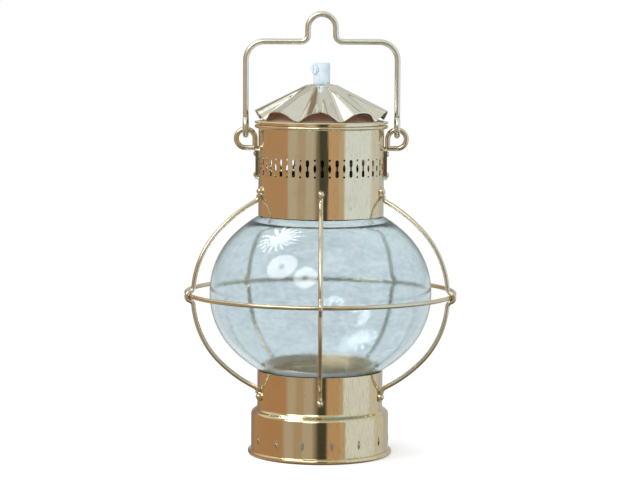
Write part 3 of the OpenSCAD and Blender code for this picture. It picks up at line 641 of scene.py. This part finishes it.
def globe_wall(depth, thickening=0.0):
    """The globe's outline from the lower neck to the upper, at a depth in the wall."""
    upper = globe_half(depth, thickening)
    lower = globe_half(depth)
    outline = [(radius, GLOBE_MIDDLE - height) for radius, height in lower[:0:-1]]
    return outline + [(radius, GLOBE_MIDDLE + height) for radius, height in upper]


outer_wall = globe_wall(0)
inner_wall = globe_wall(GLASS_WALL, SHOULDER_THICKENING)
print("globe outline:", len(outer_wall), "points outside,", len(inner_wall), "inside")

# %% [markdown]
# ## The globe
#
# Real blown glass isn't quite round: it goes in and out by a few hundredths of a millimetre, which
# is enough to make a mirrored lamp wobble. A bump could bend the mirror image too, but not the view
# through the wall. So the points themselves move, by a smooth noise that dies out at the necks,
# which have to fit their rings.

# %% Globe
RIPPLE = 0.00003
RIPPLE_REACH = 0.055
WAVES_ROUND = 45
WAVES_UP = 80
GLOBE_STEPS = 256


def glass_wave(point):
    """The small in and out of blown glass, none at the necks."""
    share = max(0.0, 1 - abs(point.z - GLOBE_MIDDLE) / RIPPLE_REACH)
    place = Vector((point.x * WAVES_ROUND, point.y * WAVES_ROUND, point.z * WAVES_UP))
    outward = Vector((point.x, point.y, 0)).normalized()
    return outward * (noise.noise(place) - 1) * RIPPLE * share


globe_mesh = turned(outer_wall + inner_wall[::-1], GLOBE_STEPS, glass_wave)
globe = new_piece("blown_globe", globe_mesh, GLASS)
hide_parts("globe")
print("globe:", len(globe.data.polygons), "faces")

# %% [markdown]
# ## The fluted crown
#
# The crown is a disc of sheet brass pleated like a paper fan: flat in the middle, with nine flutes
# that deepen towards the edge. A circle pulled up and down by hand would do, but nine equal flutes
# are one wave that runs round the edge. Each line from the flat to the edge is straight, as in
# folded sheet, and slowing the wave at the crests makes them rounder than the troughs.

# %% Crown shape
crown_low, crown_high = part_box("crown")
FLUTES = 9
FIRST_CREST = math.radians(-2)
CREST_BREADTH = 0.4
CROWN_FLAT_RADIUS = 0.0115
CROWN_EDGE_RADIUS = 0.0471
CROWN_EDGE_SWING = 0.0014
CROWN_EDGE_WAVE = 0.0033
SHEET_THICKNESS = 0.0007
CROWN_EDGE_HEIGHT = crown_low.z + CROWN_EDGE_WAVE + SHEET_THICKNESS


def crown_point(turn, share):
    """A point on the crown's top: share is 0 at the flat's rim and 1 at the edge."""
    phase = FLUTES * (turn - FIRST_CREST)
    wave = math.cos(phase - CREST_BREADTH * math.sin(phase))
    edge_radius = CROWN_EDGE_RADIUS + CROWN_EDGE_SWING * wave
    edge_height = CROWN_EDGE_HEIGHT + CROWN_EDGE_WAVE * wave
    radius = CROWN_FLAT_RADIUS + (edge_radius - CROWN_FLAT_RADIUS) * share
    height = crown_high.z + (edge_height - crown_high.z) * share
    return on_circle(radius, turn, height)


crest = crown_point(FIRST_CREST, 1)
print("crown: crest at", round(crest.z * 1000, 1), "mm, flat at", round(crown_high.z * 1000, 1))

# %% [markdown]
# ## The crown's sheet
#
# Sheet metal has two faces and a cut edge, and the underside shows between the flutes. A Solidify
# modifier could thicken a single face, but it pinches at sharp troughs. So the same rows are laid
# twice, the lower ones a sheet's thickness down, and joined round the hole and along the edge.

# %% Crown
CROWN_HOLE = 0.00505
FLAT_EDGE = CROWN_FLAT_RADIUS * 0.97
FLAT_STEP = 0.00004
CROWN_ROWS = 20
CROWN_STEPS = FLUTES * 32


def bridge(mesh, ring, after):
    """Faces between two rings of points."""
    for i in range(len(ring)):
        j = (i + 1) % len(ring)
        mesh.faces.new((ring[i], ring[j], after[j], after[i]))


def crown_rings(mesh, drop):
    """One face of the sheet, from the hole to the edge, a drop below the top."""
    turns = [2 * math.pi * i / CROWN_STEPS for i in range(CROWN_STEPS)]
    rings = []
    for radius in (CROWN_HOLE, FLAT_EDGE):
        height = crown_high.z - drop
        rings.append([mesh.verts.new(on_circle(radius, turn, height)) for turn in turns])
    for row in range(CROWN_ROWS + 1):
        down = Vector((0, 0, drop if row else drop + FLAT_STEP))
        share = row / CROWN_ROWS
        rings.append([mesh.verts.new(crown_point(turn, share) - down) for turn in turns])
    return rings


def fluted_crown():
    """The sheet's two faces, joined round the hole and along the edge."""
    mesh = bmesh.new()
    upper = crown_rings(mesh, 0)
    lower = crown_rings(mesh, SHEET_THICKNESS)
    for rings in (upper, lower):
        for ring, after in zip(rings, rings[1:]):
            bridge(mesh, ring, after)
    for end in (0, -1):
        bridge(mesh, upper[end], lower[end])
    return mesh


crown = new_piece("fluted_crown", fluted_crown(), CROWN_SHEET)
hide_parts("crown")
print("crown:", len(crown.data.polygons), "faces")

# %% [markdown]
# ## The room that the metal shows
#
# Polished metal has hardly a look of its own: it shows the room. The studio was pale with a warm
# wall on the left, a dark gap where the camera stood, and a white screen on the right. Cards round
# the lantern could stand for them, but they would also block light. Here the world's nodes hold the
# room, as bands that follow the compass, from 0 at the camera towards the right. The upright walls
# of the lantern show the lower bands, and the sloping crown shows the upper ones.

# %% Bands of the room
WARM_WALL = (0.44, 0.275, 0.16)
PALE_PANEL = (0.48, 0.44, 0.377)
PANEL_SHADE = (0.43, 0.358, 0.265)
DOORWAY = (0.19, 0.15, 0.105)
CAMERA_GAP = (0.060, 0.065, 0.046)
TAN_CURTAIN = (0.52, 0.36, 0.227)
CURTAIN_EDGE = (0.517, 0.43, 0.31)
WHITE_SCREEN = (0.70, 0.81, 0.93)
SCREEN_SIDE = (0.61, 0.64, 0.635)
BACK_WALL = (0.50, 0.52, 0.52)
BACK_CORNER = (0.31, 0.237, 0.19)
ROOM_BANDS = (
    (-180, BACK_WALL), (-165, BACK_CORNER), (-148, BACK_CORNER), (-138, WARM_WALL),
    (-66, WARM_WALL), (-59, PALE_PANEL), (-47, PALE_PANEL), (-42, PANEL_SHADE),
    (-31, PANEL_SHADE), (-27, PALE_PANEL), (-14, PALE_PANEL), (-5, DOORWAY), (-2, CAMERA_GAP),
    (10, CAMERA_GAP), (14, TAN_CURTAIN), (33, TAN_CURTAIN), (36, CURTAIN_EDGE),
    (42, CURTAIN_EDGE), (45, WHITE_SCREEN), (101, WHITE_SCREEN), (107, SCREEN_SIDE),
    (128, SCREEN_SIDE), (140, BACK_WALL), (180, BACK_WALL),
)
UPPER_BACK = (0.60, 0.61, 0.55)
UPPER_SHADE = (0.52, 0.53, 0.47)
BEAM_SIDE = (0.25, 0.20, 0.13)
BEAM = (0.30, 0.24, 0.16)
BEAM_END = (0.52, 0.51, 0.42)
SKYLIGHT = (0.74, 0.76, 0.72)
WARM_CEILING = (0.50, 0.42, 0.33)
LEFT_CEILING = (0.60, 0.60, 0.53)
FRONT_CEILING = (0.62, 0.62, 0.54)
OVER_CAMERA = (0.56, 0.58, 0.48)
RIGHT_CEILING = (0.62, 0.63, 0.53)
SCREEN_TOP = (0.66, 0.74, 0.80)
BESIDE_SCREEN = (0.62, 0.62, 0.56)
FAR_CEILING = (0.58, 0.59, 0.54)
NEAR_BACK = (0.62, 0.63, 0.58)
UPPER_BANDS = (
    (-180, UPPER_BACK), (-163, UPPER_SHADE), (-159, BEAM_SIDE), (-151, BEAM), (-146, BEAM_END),
    (-134, SKYLIGHT), (-105, SKYLIGHT), (-90, WARM_CEILING), (-72, WARM_CEILING),
    (-55, LEFT_CEILING), (-5, FRONT_CEILING), (5, OVER_CAMERA), (35, RIGHT_CEILING),
    (44, WHITE_SCREEN), (105, SCREEN_TOP), (124, BESIDE_SCREEN), (140, FAR_CEILING),
    (166, NEAR_BACK), (180, UPPER_BACK),
)
print("room:", len(ROOM_BANDS), "lower stops,", len(UPPER_BANDS), "upper stops")

# %% [markdown]
# ## The room by compass and height
#
# Over the bands lie the ceiling, right above the lantern, and the floor, which is pale further out
# and dark under the lantern. Heights are the Z of a direction, from -1 to 1. The clear glass
# mirrors too, but faintly and from everywhere, and in the photograph its mirror is a plain
# grey-green, darker at the limb. So sharp mirrors, which only the glass has, see mostly that.

# %% Room by compass and height
ZENITH = (0.67, 0.68, 0.61)
FLOOR_AHEAD = (0.42, 0.39, 0.31)
FLOOR_BELOW = (0.16, 0.12, 0.075)
ROOM_IN_GLASS = (0.56, 0.66, 0.66)
GLASS_LIMB = (0.27, 0.305, 0.28)
UPPER_FROM = (0.30, 0.42)
ZENITH_FROM = (0.78, 0.94)
FLOOR_FROM = (-0.42, -0.30)
UNDER_FROM = (-0.80, -0.50)
LIMB_FROM = (0.90, 0.99)
GLASS_SHARE = 0.8


def banded(room, share, bands):
    """The colour of a share of the way round the compass."""
    stops = [(turn / 360 + 0.5, colour) for turn, colour in bands]
    return room.node("ShaderNodeValToRGB", {"stops": stops}, {"Fac": share})


def room_colours(room, direction):
    """The room's colour in a direction."""
    height = direction.along((0, 0, 1))
    turn = room.angle(direction.along((1, 0, 0)), direction.along((0, -1, 0)))
    share = turn / (2 * math.pi) + 0.5
    walls = banded(room, share, ROOM_BANDS)
    upper = banded(room, share, UPPER_BANDS)
    seen = room.mix(room.ramp(height, *UPPER_FROM), walls, upper)
    seen = room.mix(room.ramp(height, *ZENITH_FROM), seen, ZENITH)
    seen = room.mix(1 - room.ramp(height, *FLOOR_FROM), seen, FLOOR_AHEAD)
    seen = room.mix(1 - room.ramp(height, *UNDER_FROM), seen, FLOOR_BELOW)
    limb = room.ramp(direction.along((0, 1, 0)), *LIMB_FROM)
    in_glass = room.mix(limb, ROOM_IN_GLASS, GLASS_LIMB)
    return room.mix(room.path("Is Singular Ray") * GLASS_SHARE, seen, in_glass)


# %% [markdown]
# ## The lamps that the glass shows
#
# The globe mirrors three lamps, all on the left: two round ones with a dark bulb in the middle, and
# a crumpled umbrella that looks like a star. Lamp objects alone would give plain discs. In the
# world's nodes a lamp is a patch round a direction, which can hold a bulb and rays.

# %% Where the lamps stand


def compass(turn, rise):
    """The direction of a compass angle and a height, both in degrees."""
    turn, rise = math.radians(turn), math.radians(rise)
    return on_circle(math.cos(rise), turn, math.sin(rise))


KEY_LAMP = compass(-51.5, 41.0)
FRONT_LAMP = compass(-17.1, 30.7)
UMBRELLA = compass(-112.0, 61.0)
KEY_SIZE = (14.3, 1.15)
FRONT_SIZE = (11.6, 1.25)
BULB_SIZE = (2.8, 0.7)
UMBRELLA_RADIUS = 17.0


def around(room, direction, centre, tall):
    """Where a direction lies beside and above a centre, as a flat vector; tall stretches up."""
    side = Vector((0, 0, 1)).cross(centre).normalized()
    sockets = {0: direction.along(side), 1: direction.along(centre.cross(side) / tall)}
    return room.node("ShaderNodeCombineXYZ", None, sockets)


for lamp in (KEY_LAMP, FRONT_LAMP, UMBRELLA):
    print("a lamp towards", [round(v, 2) for v in lamp])

# %% [markdown]
# ## Discs and a star
#
# A round lamp is a disc less a small disc for its bulb, and a little taller than wide, because the
# globe's curve flattens it again. The umbrella's rim is a run of spikes: a sine wave goes round the
# centre, and a noise bends it and makes some spikes longer. An image of a star would be quicker,
# but it would need a file.

# %% Shapes of the lamps
STAR_RAYS = 17
STAR_NOISE = 12.0
STAR_BEND = 6
STAR_SPIKES = 0.30
STAR_TORN = 0.8
STAR_CORE = 0.30
STAR_EDGE = (-0.015, 0.03)


def patch(room, flat, radius, soft=1.0):
    """1 within a radius of a centre, in degrees, and 0 outside."""
    inner, outer = (math.sin(math.radians(radius + s)) for s in (-soft, soft))
    return 1 - room.ramp(room.length(flat), inner, outer)


def round_lamp(room, direction, centre, radius, tall):
    """A disc with a dark bulb in its middle."""
    flat = around(room, direction, centre, tall)
    ahead = direction.along(centre).over(0)
    return (patch(room, flat, radius) - patch(room, flat, *BULB_SIZE)) * ahead


def star_lamp(room, direction, centre, radius):
    """A patch with a rim of spikes."""
    flat = around(room, direction, centre, 1.0)
    ahead = direction.along(centre).over(0)
    turn = room.angle(flat.along((1, 0, 0)), flat.along((0, 1, 0)))
    crumple = room.noise(flat, STAR_NOISE, 2.0)
    phase = turn * STAR_RAYS + crumple * STAR_BEND
    spike = room.node("ShaderNodeMath", {"operation": "SINE"}, {0: phase})
    reach = spike * STAR_SPIKES + crumple * STAR_TORN + STAR_CORE
    reach = reach * math.sin(math.radians(radius))
    return room.ramp(reach - room.length(flat), *STAR_EDGE) * ahead


# %% [markdown]
# ## One image of each lamp on each side
#
# A glass wall has two faces and the globe has two walls, so a lamp is mirrored four times. In the
# photograph one image on each side is crisp, in front of the globe and at its back. The number of
# glass faces that a ray has passed tells them apart: none for the front's outer face, and four for
# the back's inner face. Painting the images on the glass would be simpler, but they have to slide
# when the view turns. Metal behind the glass gets more glow, because the glass keeps some of it.

# %% Glow of the lamps
GLOW_IN_METAL = 2.5
GLOW_IN_FRONT = 8.0
GLOW_BEHIND = 16.0
GLOW_PAST_GLASS = 6.0
UMBRELLA_IN_METAL = 0.35
ANY = 0.5
INSIDE_GLOBE = 2.5
ALL_FACES = 4.5


def lamp_glow(room, direction):
    """How bright the lamps are in a direction."""
    sharp = room.path("Is Singular Ray")
    umbrella_share = sharp * (1 - UMBRELLA_IN_METAL) + UMBRELLA_IN_METAL
    glow = round_lamp(room, direction, KEY_LAMP, *KEY_SIZE)
    glow = glow + round_lamp(room, direction, FRONT_LAMP, *FRONT_SIZE)
    glow = glow + star_lamp(room, direction, UMBRELLA, UMBRELLA_RADIUS) * umbrella_share
    passed = room.path("Transmission Depth")
    front = (1 - passed.over(ANY)) * GLOW_IN_FRONT
    behind = (passed.over(INSIDE_GLOBE) - passed.over(ALL_FACES)) * GLOW_BEHIND
    metal = passed.over(INSIDE_GLOBE) * GLOW_PAST_GLASS + GLOW_IN_METAL
    return glow * ((1 - sharp) * metal + sharp * (front + behind))


# %% [markdown]
# ## The world
#
# The world shows each kind of ray its own picture: plain white to the camera and through the glass,
# a plain level to matt surfaces, and the room to anything mirrored. A single picture for all would
# tint the backdrop. The number of mirrorings that a ray has behind it tells them apart. The world
# isn't also used as a lamp in the renderer's own light sampling, because that sampling can't tell
# which ray asks.

# %% World
MATT_LEVEL = (0.78, 0.78, 0.78, 1)
WHITE = (1, 1, 1, 1)


def add_world():
    """The studio: a backdrop, a level of light and a room with its lamps."""
    world = bpy.data.worlds.new("studio_room")
    bpy.context.scene.world = world
    room = Palette(world)
    direction = room.node("ShaderNodeTexCoord", output="Generated")
    walls = room.node("ShaderNodeBackground", None, {"Color": room_colours(room, direction)})
    glow = {"Color": WHITE, "Strength": lamp_glow(room, direction)}
    lamps = room.node("ShaderNodeBackground", None, glow)
    mirrored = room.node("ShaderNodeAddShader", None, {0: walls, 1: lamps})
    matt = room.node("ShaderNodeBackground", None, {"Color": MATT_LEVEL})
    white = room.node("ShaderNodeBackground", None, {"Color": WHITE})
    plain = room.blend(room.path("Is Diffuse Ray"), white, matt)
    room.close(room.blend(room.path("Glossy Depth").over(ANY), plain, mirrored))
    world.cycles.sampling_method = "NONE"
    return world


print("world:", len(add_world().node_tree.nodes), "nodes")

# %% [markdown]
# ## Floor
#
# The floor is pale and keeps the lantern's shadow. More light would make it whiter, but would also
# bleach the lantern. Instead the camera alone sees a little glow added to it, which grows with the
# distance until the floor is the same white as the backdrop. Right under the foot there is less of
# the glow: a painted shade on the floor under and inside the foot, so that the lantern doesn't seem
# to float.

# %% Floor
FLOOR_PALE = (0.90, 0.90, 0.90)
FLOOR_SHADE = (0.88, 0.88, 0.885)
FLOOR_CLOUD_SCALE = 3.0
FLOOR_SIZE = 8.0
FLOOR_GLOW = 0.32
FLOOR_FADE = (0.09, 0.36)
SHADE_UNDER_FOOT = (0.035, 0.050)
LEAST_GLOW = 0.4


def pale_floor():
    """Paper that glows a little for the camera, and turns white far away."""
    finish = Finish("pale_floor")
    grain = finish.noise(finish.place(), FLOOR_CLOUD_SCALE, 2.0)
    colour = finish.mix(grain, FLOOR_PALE, FLOOR_SHADE)
    paper = finish.node("ShaderNodeBsdfDiffuse", None, {"Color": colour})
    glow = {"Color": WHITE, "Strength": FLOOR_GLOW}
    bright = finish.node("ShaderNodeEmission", None, glow)
    lit = finish.node("ShaderNodeAddShader", None, {0: paper, 1: bright})
    far = finish.node("ShaderNodeEmission", None, {"Color": WHITE})
    away = finish.length(finish.place())
    # Less glow under the foot is a painted shade on the floor there.
    share = finish.ramp(away, *SHADE_UNDER_FOOT) * (1 - LEAST_GLOW) + LEAST_GLOW
    near = finish.blend(share, paper, lit)
    seen = finish.blend(finish.ramp(away, *FLOOR_FADE), near, far)
    return finish.close(finish.blend(finish.path("Is Diffuse Ray"), seen, paper))


def add_floor(size):
    """A flat square that doesn't show in mirrors, where the room has its own floor."""
    mesh = bmesh.new()
    corners = [(-size, -size), (size, -size), (size, size), (-size, size)]
    mesh.faces.new([mesh.verts.new((x, y, 0)) for x, y in corners])
    data = bpy.data.meshes.new("floor")
    mesh.to_mesh(data)
    mesh.free()
    floor = bpy.data.objects.new("floor", data)
    bpy.context.scene.collection.objects.link(floor)
    data.materials.append(pale_floor())
    floor.visible_glossy = False


add_floor(FLOOR_SIZE)
print("floor:", 2 * FLOOR_SIZE, "m wide")

# %% [markdown]
# ## Lamp objects
#
# Matt surfaces need light that casts shadows, which the world alone would give only faintly. So
# each lamp of the room also has a soft area lamp in its direction. These don't show in mirrors,
# where the room's own lamps already stand.

# %% Lamp objects
LAMP_AIM = Vector((0, 0, 0.12))
LAMPS = (  # name, direction, distance and size in metres, power in watts
    ("key_lamp", KEY_LAMP, 1.5, 0.5, 5.0),
    ("front_lamp", FRONT_LAMP, 1.6, 0.5, 4.0),
    ("umbrella_lamp", UMBRELLA, 1.4, 0.7, 5.0),
)


def add_lamp(name, back, distance, size, power):
    """A disc lamp that looks at the lantern from a direction."""
    data = bpy.data.lights.new(name, "AREA")
    data.shape = "DISK"
    data.size = size
    data.energy = power
    lamp = bpy.data.objects.new(name, data)
    bpy.context.scene.collection.objects.link(lamp)
    lamp.location = LAMP_AIM + back * distance
    lamp.rotation_mode = "QUATERNION"
    lamp.rotation_quaternion = back.to_track_quat("Z", "Y")
    lamp.visible_glossy = False
    lamp.visible_transmission = False


for lamp in LAMPS:
    add_lamp(*lamp)
print("lamps:", [lamp[0] for lamp in LAMPS])

# %% [markdown]
# ## Camera
#
# The photograph was taken from the front, a little over the lantern's middle, with a long lens. A
# camera could be set by eye, but its place follows from how the circles of the foot and the rim
# flatten in the picture. It was held a third of a degree off level.

# %% Camera
ASIDE = -0.00054
CAMERA_PLACE = Vector((ASIDE, -1.75109, 0.31693))
CAMERA_AIM = Vector((ASIDE, 0, 0.15723))
LENS = 135.24
SENSOR_WIDTH = 36.0
ROLL = 0.0061


def add_camera():
    """The photograph's camera."""
    data = bpy.data.cameras.new("camera")
    data.lens = LENS
    data.sensor_width = SENSOR_WIDTH
    camera = bpy.data.objects.new("camera", data)
    bpy.context.scene.collection.objects.link(camera)
    camera.location = CAMERA_PLACE
    camera.rotation_mode = "QUATERNION"
    look = (CAMERA_AIM - CAMERA_PLACE).to_track_quat("-Z", "Y")
    camera.rotation_quaternion = look @ Quaternion((0, 0, 1), ROLL)
    bpy.context.scene.camera = camera


add_camera()
bpy.context.scene.view_settings.view_transform = "Standard"
print("camera:", round(CAMERA_PLACE.length, 2), "m from the foot, lens", LENS, "mm")
